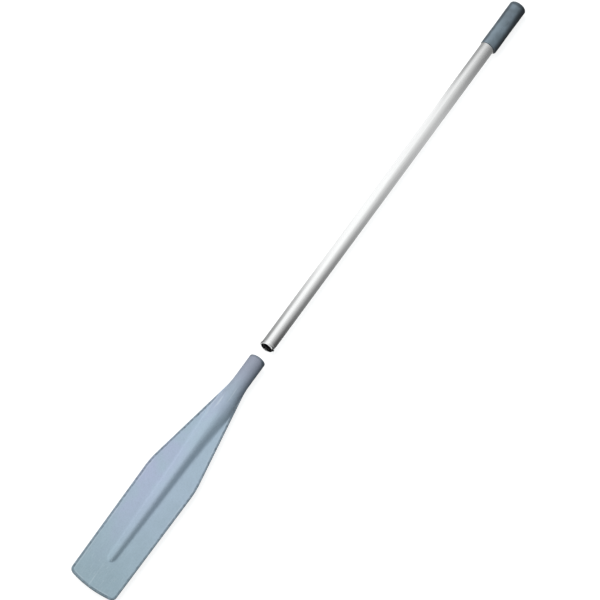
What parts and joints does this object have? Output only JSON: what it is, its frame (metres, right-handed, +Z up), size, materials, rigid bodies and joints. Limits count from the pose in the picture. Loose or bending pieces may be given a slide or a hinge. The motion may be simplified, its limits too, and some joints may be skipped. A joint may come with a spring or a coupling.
{
  "type": "two-part rowing oar",
  "caption": "Two-part rowing oar: flat plastic blade with a ribbed socket, pulled off a round metal shaft with a soft closed grip and a snap button that locks the two.",
  "frame": {"origin": "on the ground under the middle of the laid-out oar, with the blade's tip at -X and the grip at +X", "axes": "+X along the shaft from the blade to the grip, +Y across the blade, +Z up, square to the blade's flat face"},
  "size_m": [1.591, 0.1124, 0.0354],
  "materials": {
    "blade_plastic": "blue-grey moulded plastic, satin",
    "tube_aluminium": "bright drawn tube, clear anodised",
    "grip_rubber": "soft dark grey sleeve, smooth satin",
    "plug_plastic": "black moulded plastic",
    "bung_foam": "off-white closed-cell foam",
    "spring_steel": "plain stainless strip and turned button"
  },
  "bodies": {
    "shaft": {"shaft_tube": "tube_aluminium", "grip": "grip_rubber", "tube_plug": "plug_plastic", "float_bung": "bung_foam", "spring_clip": "spring_steel"},
    "blade": {"blade": "blade_plastic"},
    "button": {"snap_button": "spring_steel"}
  },
  "joints": [
    {"name": "blade_slide", "type": "slide", "parent": "shaft", "child": "blade", "axis": [1, 0, 0], "range_m": [0, 0.1235]},
    {"name": "button_press", "type": "slide", "parent": "shaft", "child": "button", "axis": [0, 0, 1], "range_m": [0, 0.0026], "stiffness_N_per_m": 2000, "springref_m": -0.001, "deforming": ["spring_clip"]}
  ]
}
